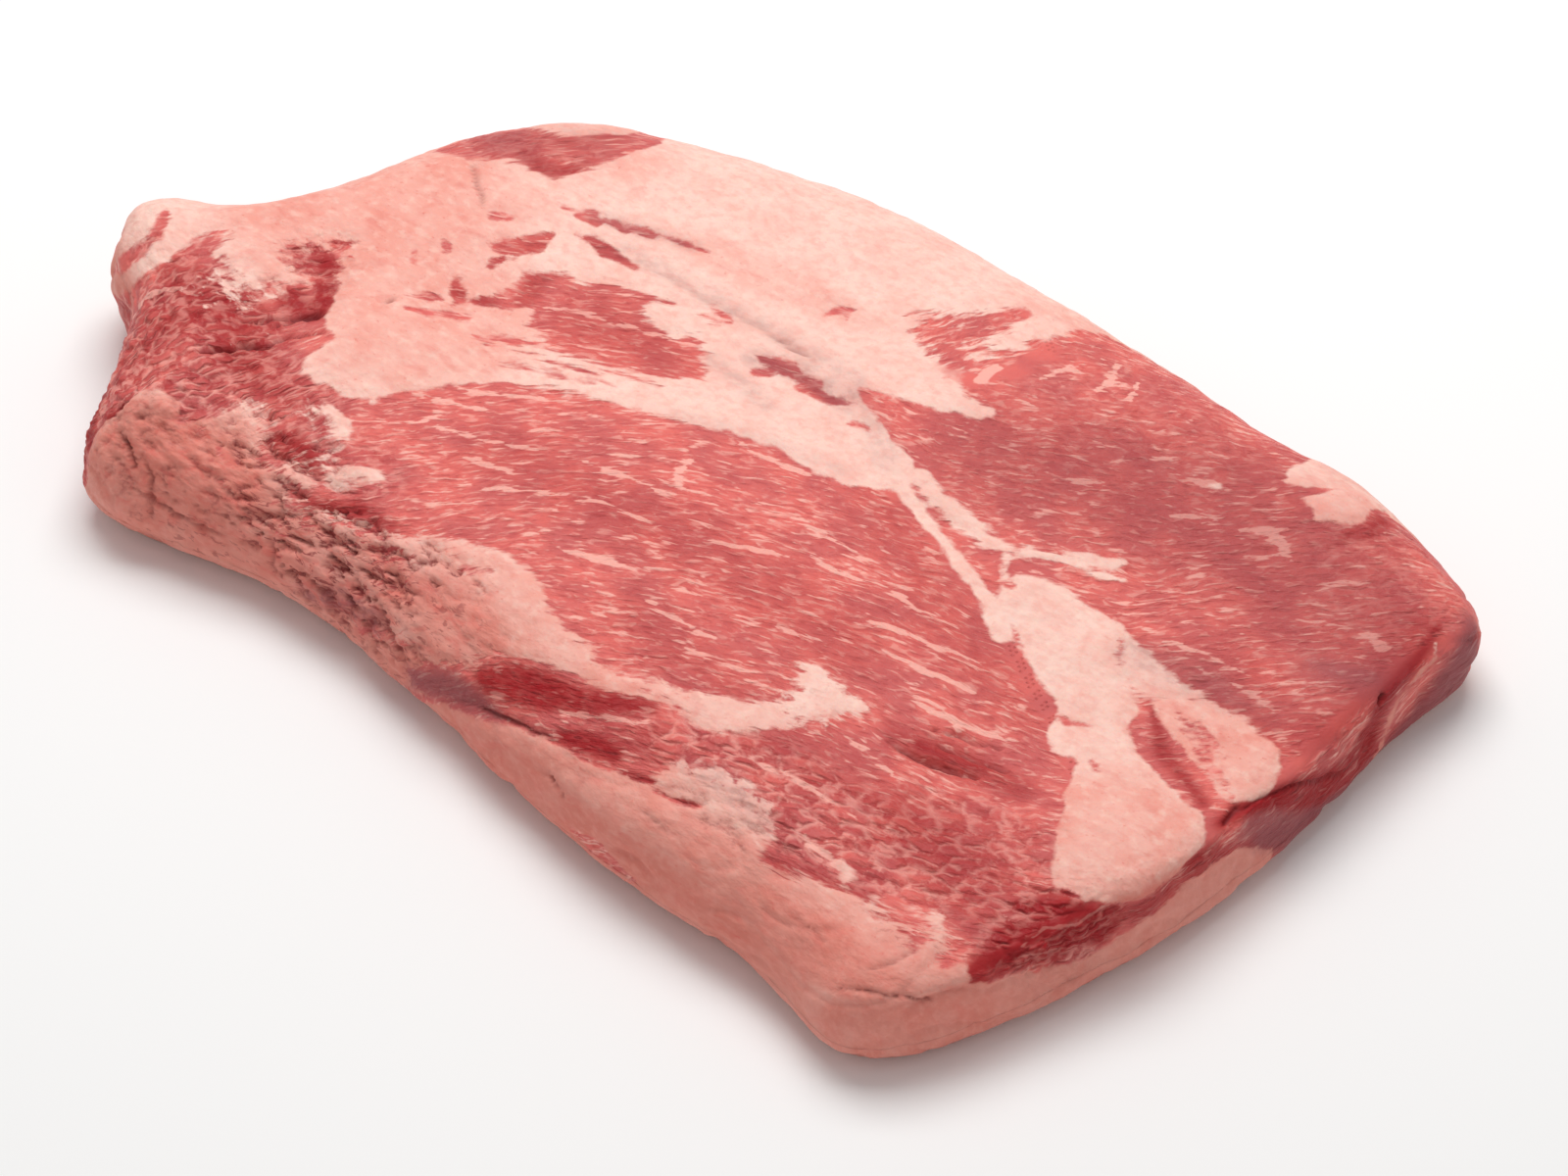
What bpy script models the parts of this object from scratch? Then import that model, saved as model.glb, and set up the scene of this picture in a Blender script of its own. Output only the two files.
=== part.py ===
"""Raw beef brisket: a boneless slab of lean lying on its fat cap, as it rests on a table.

Two layers of one rigid thing: the lean, and the fat that runs under all of it and shows
at the cut sides. +X runs along the grain, from the thick point end to the thin flat end.
+Z is up, and the origin is on the table, under the middle of the slab.
One soft cage makes the whole slab, and a level cut parts it into the two layers.
Outlines and sizes are in millimetres and are turned to metres when the mesh is made.
"""

import math

import bmesh
import bpy
from mathutils import Vector

MM = 0.001

# The slab seen from above at its widest, as four sides that share their corners.
FRONT_LEFT = (-188, -92)
FRONT = [(-168, -96), (-138, -94), (-106, -91), (-70, -98), (-30, -109), (10, -121), (60, -135), (110, -141)]
FRONT_RIGHT = (153, -157)
FLAT_END = [(173, -142), (195, -104), (211, -68), (220, -32), (227, 2), (230, 35), (235, 64)]
BACK_RIGHT = (243, 94)
BACK = [(-196, 45), (-182, 72), (-173, 98), (-152, 124), (-122, 142), (-68, 151), (-16, 156), (40, 148),
        (90, 141), (134, 133), (178, 128), (214, 112)]
BACK_LEFT = (-213, 28)
POINT_END = [(-235, 17), (-242, 2), (-232, -16), (-212, -31), (-202, -57)]

# Thickness of the slab along its length, and of the fat cap under it.
POINT_THICKNESS = 53.0
MIDDLE_THICKNESS = 47.0
FLAT_THICKNESS = 38.0
CAP_THICKNESS = 12.0
LAYER_GAP = 0.3

# Side profile as (inset from the widest outline, share of the height), from the shoulder
# down to the foot. Fat rolls over the trimmed sides, the front is trimmed at a slope, and
# the flat end is cut square.
ROLLED_SIDE = [(27, 1.0), (13, 0.96), (3, 0.82), (-1, 0.58), (-1, 0.34), (2, 0.12), (9, 0.0), (20, 0.0)]
SLOPED_SIDE = [(33, 1.0), (20, 0.94), (10, 0.80), (3, 0.61), (-1, 0.39), (0, 0.16), (8, 0.0), (20, 0.0)]
CUT_SIDE = [(15, 1.0), (5, 0.99), (0, 0.84), (2, 0.62), (1, 0.38), (-1, 0.18), (5, 0.0), (20, 0.0)]

# Mounds and hollows of the upper face: (x, y, reach along x, reach along y, height).
MOUNDS = {
    "front_muscle": (0, -45, 110, 50, 3.0),
    "back_muscle": (120, 75, 85, 40, 2.5),
    "back_fat_roll": (-50, 118, 80, 22, 3.0),
    "point_lobe": (-192, -45, 26, 36, 4.5),
    "point_tip": (-215, 5, 18, 18, 2.0),
    "seam_fat_pad": (-120, -12, 26, 20, 2.5),
    "corner_fat_pad": (190, -62, 20, 24, 3.5),
    "edge_fat_pad": (176, 98, 18, 12, 3.0),
    "trimming_hollow": (135, -62, 30, 12, -3.5),
    "front_corner": (160, -118, 30, 20, -2.5),
    "front_cut": (0, -100, 34, 12, -2.5),
}

# Shallow valleys of the upper face: (reach, depth, points along the bottom). A fat-filled
# seam parts the two muscles, and a fold closes behind the thick lobe of the point end.
VALLEYS = {
    "muscle_seam": (13.0, 3.0, [(-130, 22), (-70, 42), (10, 46), (60, 30), (120, -5), (160, -45)]),
    "point_fold": (10.0, 3.5, [(-182, -42), (-166, -28), (-150, -4)]),
}

CELLS_LONG, CELLS_ACROSS = 24, 14


def smoothstep(low, high, value):
    t = min(1.0, max(0.0, (value - low) / (high - low)))
    return t * t * (3 - 2 * t)


def catmull_rom(a, b, c, d, t):
    """Point at t between b and c on the smooth curve through a, b, c and d."""
    return 0.5 * (2 * b + (c - a) * t + (2 * a - 5 * b + 4 * c - d) * t**2 + (3 * b - a - 3 * c + d) * t**3)


def side_points(ring, first, last, cells):
    """Evenly spaced points on the closed curve through ring, from one corner up to the next."""
    steps = 24
    fine = []
    for i in range(first, last):
        around = [ring[(i + k) % len(ring)] for k in (-1, 0, 1, 2)]
        fine += [catmull_rom(*around, step / steps) for step in range(steps)]
    fine.append(ring[last % len(ring)].copy())
    along = [0.0]
    for a, b in zip(fine, fine[1:]):
        along.append(along[-1] + (b - a).length)
    points = []
    at = 0
    for cell in range(cells):
        wanted = along[-1] * cell / cells
        while along[at + 1] < wanted:
            at += 1
        share = (wanted - along[at]) / (along[at + 1] - along[at])
        points.append(fine[at].lerp(fine[at + 1], share))
    return points


def outline_stations():
    """The widest outline, anticlockwise from the front left corner, with one station to a cell."""
    sides = [
        ([FRONT_LEFT, *FRONT], CELLS_LONG),
        ([FRONT_RIGHT, *FLAT_END], CELLS_ACROSS),
        ([BACK_RIGHT, *reversed(BACK)], CELLS_LONG),
        ([BACK_LEFT, *POINT_END], CELLS_ACROSS),
    ]
    ring = [Vector(point) for points, cells in sides for point in points]
    stations = []
    first = 0
    for points, cells in sides:
        stations += side_points(ring, first, first + len(points), cells)
        first += len(points)
    return stations


def outward_normals(stations):
    """Level unit vectors that point out of the slab, one to a station."""
    normals = []
    for i in range(len(stations)):
        along = stations[(i + 1) % len(stations)] - stations[i - 1]
        normals.append(Vector((along.y, -along.x)).normalized())
    return normals


def profile_at(station, level):
    """(inset, share of the height) of one level of the side, by where the station is."""
    cut = smoothstep(130, 205, station.x) * smoothstep(95, 50, station.y)
    sloped = smoothstep(170, 135, station.x) * smoothstep(-30, -75, station.y)
    rolled = 1 - cut - sloped * (1 - cut)
    weights = (rolled, sloped * (1 - cut), cut)
    profiles = (ROLLED_SIDE[level], SLOPED_SIDE[level], CUT_SIDE[level])
    return [sum(weight * profile[k] for weight, profile in zip(weights, profiles)) for k in (0, 1)]


def mound(x, y, place):
    cx, cy, reach_x, reach_y, height = place
    return height * math.exp(-(((x - cx) / reach_x) ** 2) - ((y - cy) / reach_y) ** 2)


def distance_to_line(point, line):
    """Distance in plan from a point to a run of straight pieces."""
    nearest = math.inf
    for a, b in zip(line, line[1:]):
        start = Vector(a)
        run = Vector(b) - start
        share = min(1.0, max(0.0, (point - start).dot(run) / run.length_squared))
        nearest = min(nearest, (point - start - run * share).length)
    return nearest


def upper_height(x, y):
    """Height of the upper face over the table."""
    height = MIDDLE_THICKNESS
    height += (POINT_THICKNESS - MIDDLE_THICKNESS) * smoothstep(-80, -180, x)
    height += (FLAT_THICKNESS - MIDDLE_THICKNESS) * smoothstep(30, 210, x)
    height += sum(mound(x, y, place) for place in MOUNDS.values())
    for reach, depth, line in VALLEYS.values():
        height -= depth * math.exp(-((distance_to_line(Vector((x, y)), line) / reach) ** 2))
    return height


def grid_point(ring, i, j):
    """Point of the grid fitted inside a ring of stations, blended from its four sides."""
    u = i / CELLS_LONG
    v = j / CELLS_ACROSS
    right_start = CELLS_LONG
    back_start = CELLS_LONG + CELLS_ACROSS
    left_start = 2 * CELLS_LONG + CELLS_ACROSS
    front, back = ring[i], ring[left_start - i]
    right, left = ring[right_start + j], ring[-j]
    corners = ring[0] * (1 - u) * (1 - v) + ring[right_start] * u * (1 - v)
    corners += ring[back_start] * u * v + ring[left_start] * (1 - u) * v
    return front * (1 - v) + back * v + left * (1 - u) + right * u - corners


def upper_face(bm, shoulder):
    """A grid fitted inside the shoulder and raised to the upper face. Returns its rim in station order."""
    bmesh.ops.create_grid(bm, x_segments=CELLS_LONG, y_segments=CELLS_ACROSS, size=0.5)
    rim = [None] * len(shoulder)
    for vert in bm.verts:
        i = round((vert.co.x + 0.5) * CELLS_LONG)
        j = round((vert.co.y + 0.5) * CELLS_ACROSS)
        place = grid_point(shoulder, i, j)
        vert.co = Vector((place.x, place.y, upper_height(place.x, place.y)))
        if j == 0:
            rim[i] = vert
        elif i == CELLS_LONG:
            rim[CELLS_LONG + j] = vert
        elif j == CELLS_ACROSS:
            rim[2 * CELLS_LONG + CELLS_ACROSS - i] = vert
        elif i == 0:
            rim[-j] = vert
    return rim


def ring_edges(bm, ring):
    return [bm.edges.get((a, b)) for a, b in zip(ring, ring[1:] + ring[:1])]


def next_ring(bm, ring):
    """Extrudes a closed ring of vertices and returns the new ring in the same order."""
    made = bmesh.ops.extrude_edge_only(bm, edges=ring_edges(bm, ring))["geom"]
    fresh = {element for element in made if isinstance(element, bmesh.types.BMVert)}
    return [next(e.other_vert(vert) for e in vert.link_edges if e.other_vert(vert) in fresh) for vert in ring]


def slab_cage():
    """The closed cage of the whole slab: upper face, side level by level, and a flat underside."""
    stations = outline_stations()
    normals = outward_normals(stations)
    shoulder = [p - n * profile_at(p, 0)[0] for p, n in zip(stations, normals)]
    bm = bmesh.new()
    ring = upper_face(bm, shoulder)
    heights = [vert.co.z for vert in ring]
    for level in range(1, len(ROLLED_SIDE)):
        ring = next_ring(bm, ring)
        for vert, station, normal, height in zip(ring, stations, normals, heights):
            inset, share = profile_at(station, level)
            place = station - normal * inset
            vert.co = Vector((place.x, place.y, height * share))
    bmesh.ops.contextual_create(bm, geom=ring_edges(bm, ring))
    bmesh.ops.recalc_face_normals(bm, faces=bm.faces)
    bmesh.ops.scale(bm, vec=(MM, MM, MM), verts=bm.verts)
    mesh = bpy.data.meshes.new("slab_cage")
    bm.to_mesh(mesh)
    bm.free()
    mesh.shade_smooth()
    return mesh


def cutter_box(name, low, high, collection):
    """A box wider than the slab, from one level to another in millimetres."""
    bpy.ops.mesh.primitive_cube_add(size=1, location=(0, 0, (low + high) / 2 * MM))
    box = bpy.context.object
    box.name = name
    box.scale = (0.7, 0.5, (high - low) * MM)
    box.display_type = "WIRE"
    box.hide_render = True
    for home in list(box.users_collection):
        home.objects.unlink(box)
    collection.objects.link(box)
    return box


def meat_material(name, colour, roughness):
    material = bpy.data.materials.new(name)
    material.use_nodes = True
    shader = material.node_tree.nodes["Principled BSDF"]
    shader.inputs["Base Color"].default_value = (*colour, 1)
    shader.inputs["Roughness"].default_value = roughness
    shader.inputs["Metallic"].default_value = 0
    material.diffuse_color = (*colour, 1)
    return material


def add_layer(name, cage, cutter, material, collection):
    """The slab, made smooth and cut down to one of its layers."""
    mesh = cage.copy()
    mesh.name = name
    mesh.materials.append(material)
    layer = bpy.data.objects.new(name, mesh)
    collection.objects.link(layer)
    smooth = layer.modifiers.new("smooth", "SUBSURF")
    smooth.levels = 1
    smooth.render_levels = 1
    cut = layer.modifiers.new("level_cut", "BOOLEAN")
    cut.operation = "DIFFERENCE"
    cut.object = cutter
    return layer


def main():
    for obj in list(bpy.data.objects):
        bpy.data.objects.remove(obj)
    brisket = bpy.data.collections.new("beef_brisket")
    cutters = bpy.data.collections.new("cutters")
    bpy.context.scene.collection.children.link(brisket)
    bpy.context.scene.collection.children.link(cutters)
    above = cutter_box("above_the_cap", CAP_THICKNESS, 150, cutters)
    below = cutter_box("below_the_lean", -50, CAP_THICKNESS + LAYER_GAP, cutters)
    cage = slab_cage()
    lean = meat_material("lean_beef", (0.62, 0.16, 0.14), 0.45)
    fat = meat_material("beef_fat", (0.88, 0.54, 0.45), 0.5)
    add_layer("lean_meat", cage, below, lean, brisket)
    add_layer("fat_cap", cage, above, fat, brisket)
    bpy.data.meshes.remove(cage)


main()
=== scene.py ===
import math

import bmesh
import bpy
import numpy as np
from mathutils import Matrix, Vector, noise
from mathutils.bvhtree import BVHTree


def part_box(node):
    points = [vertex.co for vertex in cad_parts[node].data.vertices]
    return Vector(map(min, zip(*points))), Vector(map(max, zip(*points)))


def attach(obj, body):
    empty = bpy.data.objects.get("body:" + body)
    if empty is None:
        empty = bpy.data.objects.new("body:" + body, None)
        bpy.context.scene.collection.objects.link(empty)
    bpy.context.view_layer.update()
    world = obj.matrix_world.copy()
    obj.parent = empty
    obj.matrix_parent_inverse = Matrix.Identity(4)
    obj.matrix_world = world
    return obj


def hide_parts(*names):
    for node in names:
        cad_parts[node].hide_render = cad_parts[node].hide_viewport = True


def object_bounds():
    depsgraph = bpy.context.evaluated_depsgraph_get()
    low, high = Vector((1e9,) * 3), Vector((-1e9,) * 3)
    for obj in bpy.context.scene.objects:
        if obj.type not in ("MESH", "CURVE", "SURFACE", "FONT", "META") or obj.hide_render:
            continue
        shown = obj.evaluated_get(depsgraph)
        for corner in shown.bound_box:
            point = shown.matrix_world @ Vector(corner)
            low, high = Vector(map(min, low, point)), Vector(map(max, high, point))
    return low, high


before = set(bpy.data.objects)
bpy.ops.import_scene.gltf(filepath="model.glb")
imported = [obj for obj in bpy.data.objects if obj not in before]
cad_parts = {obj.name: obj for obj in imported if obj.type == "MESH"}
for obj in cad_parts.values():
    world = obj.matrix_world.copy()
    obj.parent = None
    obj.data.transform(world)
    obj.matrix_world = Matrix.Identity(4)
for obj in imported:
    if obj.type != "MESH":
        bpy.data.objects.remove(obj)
cad_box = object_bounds()

# --------------------------------------
# The slab. One boneless piece of beef, a lean side on its fat cap, trimmed all round with
# a knife. Its skin is made in one go over both layers, and is only parted at the end.
# Lengths here are in millimetres.

MM = 0.001
SKIN_CELL = 2.8
SMOOTHING_ROUNDS = 4

# The outline is taken at one level. The walls fold out, in full or in part, near it.
OUTLINE_LEVEL, OUTLINE_STEP = 22, 5
SHOULDER = 27.0
FOLD_BEGINS, FOLD_ENDS = 34, 22


def closed_slab():
    """Both layers joined into one closed shell, without the faces where they meet."""
    bm = bmesh.new()
    for name in ("lean_meat", "fat_cap"):
        bm.from_mesh(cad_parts[name].data)
    bmesh.ops.remove_doubles(bm, verts=bm.verts, dist=0.01 * MM)
    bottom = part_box("fat_cap")[1].z - 0.05 * MM
    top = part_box("lean_meat")[0].z + 0.05 * MM
    meeting = [face for face in bm.faces if all(bottom < vert.co.z < top for vert in face.verts)]
    bmesh.ops.delete(bm, geom=meeting, context="FACES")
    bmesh.ops.bridge_loops(bm, edges=[edge for edge in bm.edges if edge.is_boundary])
    bmesh.ops.recalc_face_normals(bm, faces=bm.faces)
    return bm


def in_scene(name, data):
    """A new object in the scene, with its mesh, light or camera."""
    thing = bpy.data.objects.new(name, data)
    bpy.context.scene.collection.objects.link(thing)
    return thing


def with_modifier(bm, kind, **settings):
    """The mesh that bm gives after one modifier. bm is freed."""
    mesh = bpy.data.meshes.new("skin")
    bm.to_mesh(mesh)
    bm.free()
    carrier = in_scene("skin", mesh)
    modifier = carrier.modifiers.new("shape", kind)
    for key, value in settings.items():
        setattr(modifier, key, value)
    depsgraph = bpy.context.evaluated_depsgraph_get()
    result = bpy.data.meshes.new_from_object(carrier.evaluated_get(depsgraph))
    bpy.data.objects.remove(carrier)
    return result


def even_skin(slab):
    """A smooth skin of small, even quads over the slab."""
    bm = bmesh.new()
    bm.from_mesh(with_modifier(slab, "REMESH", mode="VOXEL", voxel_size=SKIN_CELL * MM))
    for _ in range(SMOOTHING_ROUNDS):
        bmesh.ops.smooth_vert(
            bm, verts=bm.verts, factor=0.5, use_axis_x=True, use_axis_y=True, use_axis_z=True)
    return with_modifier(bm, "SUBSURF", levels=1, render_levels=1)


def outline_at(slab, level, step):
    """Evenly spaced points round the slab at one level, and the directions that face out from them."""
    bm = slab.copy()
    everything = bm.verts[:] + bm.edges[:] + bm.faces[:]
    cut = bmesh.ops.bisect_plane(
        bm, geom=everything, dist=1e-7, plane_co=(0, 0, level * MM), plane_no=(0, 0, 1))
    edges = {item for item in cut["geom_cut"] if isinstance(item, bmesh.types.BMEdge)}
    first = min(edges, key=lambda edge: edge.verts[0].co.x)
    loop = list(first.verts)
    while True:
        onward = [edge for edge in loop[-1].link_edges if edge in edges and loop[-2] not in edge.verts]
        if not onward or onward[0].other_vert(loop[-1]) is loop[0]:
            break
        loop.append(onward[0].other_vert(loop[-1]))
    ring = np.array([vert.co.xy for vert in loop]) / MM
    bm.free()
    after = np.roll(ring, -1, 0)
    if np.sum(ring[:, 0] * after[:, 1] - ring[:, 1] * after[:, 0]) < 0:
        ring = ring[::-1]
    closed = np.vstack([ring, ring[:1]])
    along = np.concatenate([[0], np.cumsum(np.hypot(*np.diff(closed, axis=0).T))])
    places = np.linspace(0, along[-1], int(along[-1] / step), endpoint=False)
    ring = np.stack([np.interp(places, along, closed[:, axis]) for axis in (0, 1)], -1)
    tangent = sum(np.roll(ring, -reach, 0) - np.roll(ring, reach, 0) for reach in (1, 2, 3))
    out = np.stack([tangent[:, 1], -tangent[:, 0]], -1)
    return ring, out / np.linalg.norm(out, axis=1, keepdims=True)


def smoothstep(low, high, value):
    t = np.clip((value - low) / (high - low), 0, 1)
    return t * t * (3 - 2 * t)


def nearest_on(line, at):
    """For each point, its distance to a line of straight runs, and where on the line that is."""
    best = np.full(len(at), np.inf)
    place = np.zeros(len(at))
    for i in range(len(line) - 1):
        run = line[i + 1] - line[i]
        share = np.clip(((at - line[i]) @ run) / max(run @ run, 1e-9), 0, 1)
        gap = np.hypot(*(at - line[i] - share[:, None] * run).T)
        closer = gap < best
        best[closer] = gap[closer]
        place[closer] = i + share[closer]
    return best, place


def is_inside(outline, at):
    """Whether each point lies inside a closed outline."""
    result = np.zeros(len(at), bool)
    for (ax, ay), (bx, by) in zip(outline, np.roll(outline, -1, 0)):
        crosses = (ay > at[:, 1]) != (by > at[:, 1])
        result ^= crosses & (at[:, 0] < (bx - ax) * (at[:, 1] - ay) / (by - ay + 1e-12) + ax)
    return result


def laid_out(points, slab):
    """Each point's place with the walls folded out level, its inset and its place round the rim."""
    ring, out = outline_at(slab, OUTLINE_LEVEL, OUTLINE_STEP)
    tree = BVHTree.FromBMesh(slab)
    shoulder = ring - out * SHOULDER
    down = Vector((0, 0, -1))
    height = [tree.ray_cast(Vector((x * MM, y * MM, 1)), down)[0].z / MM for x, y in shoulder]
    closed = np.vstack([ring, ring[:1]])
    gap, place = nearest_on(closed, points[:, :2])
    inward = np.where(is_inside(ring, points[:, :2]), gap, -gap)
    stations = np.arange(len(closed))
    facing = [np.interp(place, stations, np.append(out[:, axis], out[0, axis])) for axis in (0, 1)]
    drop = np.maximum(0, np.interp(place, stations, np.append(height, height[0])) - points[:, 2])
    folded = smoothstep(FOLD_BEGINS, FOLD_ENDS, inward) * drop
    plan = points[:, :2] + np.stack(facing, -1) * folded[:, None]
    return plan, inward, place * OUTLINE_STEP


def numbers_of(mesh, name):
    """The vertices' places or normals, as rows of three."""
    rows = np.empty(len(mesh.vertices) * 3, np.float32)
    mesh.vertices.foreach_get(name, rows)
    return rows.reshape(-1, 3).astype(float)


slab = closed_slab()
skin = even_skin(slab.copy())
points = numbers_of(skin, "co") / MM
normals = numbers_of(skin, "normal")
plan, inward, along_wall = laid_out(points, slab)
slab.free()
underside = smoothstep(-0.45, -0.75, normals[:, 2]) * smoothstep(4, 2, points[:, 2])
wall = smoothstep(0.85, 0.35, normals[:, 2])

# --------------------------------------
# Fat and lean. Two muscles lie side by side with a fat-filled seam between them, and
# trimmed fat covers the back edge, the point end and the front wall. Outlines are given
# on the laid-out skin, and later lists lie on top of earlier ones.

FAT_AREAS = {
    "point_end_cover": [
        (-300, -10), (-262, -36), (-240, -42), (-222, -34), (-208, -20), (-204, -8), (-200, 2), (-195, 6),
        (-191, -6), (-184, -8), (-180, -15), (-173, -14), (-170, -7), (-161, 0), (-173, 4), (-176, 9),
        (-177, 13), (-170, 15), (-165, 19), (-166, 24), (-161, 25), (-157, 27), (-156, 20), (-154, 14),
        (-149, 5), (-145, -4), (-120, 40), (-100, 60), (-100, 200), (-300, 200),
    ],
    "left_pad": [
        (-156, 20), (-149, 5), (-145, -4), (-141, -13), (-133, -18), (-135, -23), (-135, -32), (-133, -37),
        (-120, -36), (-114, -38), (-106, -31), (-94, -17), (-80, -2), (-60, 25), (-100, 60), (-140, 60),
    ],
    "back_edge": [
        (-110, 40), (-60, 20), (10, 40), (28, 55), (22, 62), (38, 64), (54, 68), (62, 69), (67, 73),
        (65, 76), (54, 77), (49, 81), (42, 82), (36, 86), (28, 90), (21, 97), (15, 99), (22, 104),
        (30, 110), (40, 116), (48, 127), (52, 126), (50, 114), (47, 104), (45, 97), (50, 99), (56, 108),
        (62, 118), (67, 128), (74, 137), (84, 143), (101, 144), (118, 143), (132, 140), (138, 142),
        (140, 240), (-110, 240),
    ],
    "right_back_edge": [
        (118, 143), (132, 140), (138, 142), (157, 142), (160, 122), (157, 112), (159, 104), (166, 105),
        (176, 113), (172, 105), (168, 99), (176, 94), (184, 95), (190, 102), (189, 112), (193, 119),
        (204, 122), (222, 121), (240, 116), (262, 96), (300, 110), (300, 240), (118, 240),
    ],
    "seam": [
        (-90, -10), (-80, -2), (-70, 3), (-50, 9), (-30, 14), (-14, 17), (-5, 20), (12, 23), (30, 20),
        (42, 21), (52, 25), (58, 30), (62, 37), (54, 43), (44, 47), (35, 53), (24, 58), (10, 62), (-60, 45),
        (-80, 20),
    ],
    "column_and_corner_pad": [
        (107, 11), (108, 19), (116, 21), (125, 22), (133, 20), (145, 20), (151, 14), (153, 5), (157, 5),
        (163, -1), (169, -8), (171, -16), (177, -23), (188, -29), (200, -34), (209, -36), (217, -45),
        (218, -58), (216, -70), (210, -79), (197, -85), (185, -85), (180, -79), (176, -69), (171, -58),
        (167, -47), (165, -38), (156, -37), (151, -33), (149, -22), (143, -18), (130, -10), (116, -3),
        (109, 4),
    ],
    "column_arm": [
        (171, -3), (176, 3), (185, 7), (195, 7), (206, 5), (214, 1), (220, -7), (223, -15), (218, -22),
        (211, -26), (204, -22), (193, -17), (181, -10), (174, -7),
    ],
    "finger_ground": [
        (145, 20), (150, 13), (157, 3), (162, -2), (171, -3), (178, 3), (190, 6), (184, 9), (174, 9),
        (164, 12), (154, 16),
    ],
    "front_wall_left": [
        (-330, -150), (-198, -120), (-191, -101), (-187, -92), (-179, -86), (-173, -73), (-165, -69),
        (-157, -70), (-155, -79), (-147, -71), (-141, -61), (-136, -57), (-131, -61), (-127, -70),
        (-117, -77), (-109, -83), (-101, -90), (-92, -84), (-80, -83), (-67, -80), (-56, -74), (-44, -70),
        (-28, -67), (-12, -72), (4, -86), (6, -93), (-3, -101), (-16, -105), (-21, -115), (-32, -119),
        (-48, -128), (-52, -134), (-34, -139), (-10, -133), (8, -128), (8, -240), (-330, -240),
    ],
    "front_strip": [
        (-30, -69), (-16, -70), (-28, -73), (-38, -76), (-18, -80), (0, -81), (12, -85), (22, -91),
        (35, -89), (50, -86), (60, -80), (70, -78), (80, -70), (78, -62), (74, -55), (84, -53), (98, -57),
        (101, -60), (94, -68), (86, -78), (78, -86), (70, -92), (62, -94), (48, -91), (30, -96), (14, -97),
        (0, -100), (-10, -102), (-24, -100),
    ],
    "front_wall_right": [
        (-34, -140), (-14, -134), (2, -130), (18, -127), (34, -128), (48, -126), (58, -120), (64, -112),
        (74, -105), (86, -104), (98, -109), (104, -117), (102, -124), (104, -129), (112, -129), (122, -124),
        (138, -121), (152, -124), (163, -130), (172, -124), (180, -125), (188, -130), (200, -119),
        (212, -110), (222, -97), (225, -80), (226, -66), (228, -48), (233, -34), (241, -26), (249, -21),
        (262, -24), (300, -30), (300, -240), (-34, -240),
    ],
}

# Lean that shows inside the fat: small islands, and strokes as (x, y, half width).
LEAN_AREAS = {
    "island": [
        (-102, 51), (-90, 56), (-80, 60), (-66, 63), (-52, 63), (-61, 60), (-57, 53), (-43, 51), (-37, 54),
        (-28, 47), (-23, 38), (-30, 33), (-45, 29), (-65, 23), (-77, 21), (-80, 27), (-88, 27), (-92, 35),
        (-100, 29), (-106, 29), (-102, 41), (-104, 47),
    ],
    "back_flap": [
        (-176, 94), (-172, 86), (-165, 83), (-150, 81), (-141, 90), (-128, 91), (-120, 91), (-116, 98),
        (-110, 112), (-104, 124), (-103, 132), (-108, 146), (-116, 146), (-116, 128), (-132, 113),
        (-146, 115), (-156, 122), (-164, 116), (-172, 104),
    ],
    "front_block": [
        (-21, -115), (-17, -105), (-5, -102), (9, -99), (20, -100), (26, -108), (15, -120), (2, -124),
        (-15, -128),
    ],
    "front_sliver": [
        (24, -118), (38, -112), (54, -108), (58, -112), (46, -121), (34, -128), (19, -125),
    ],
    "corner_lump": [
        (-130, -64), (-121, -57), (-110, -57), (-100, -62), (-98, -70), (-106, -80), (-116, -80),
        (-124, -74),
    ],
}
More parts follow.
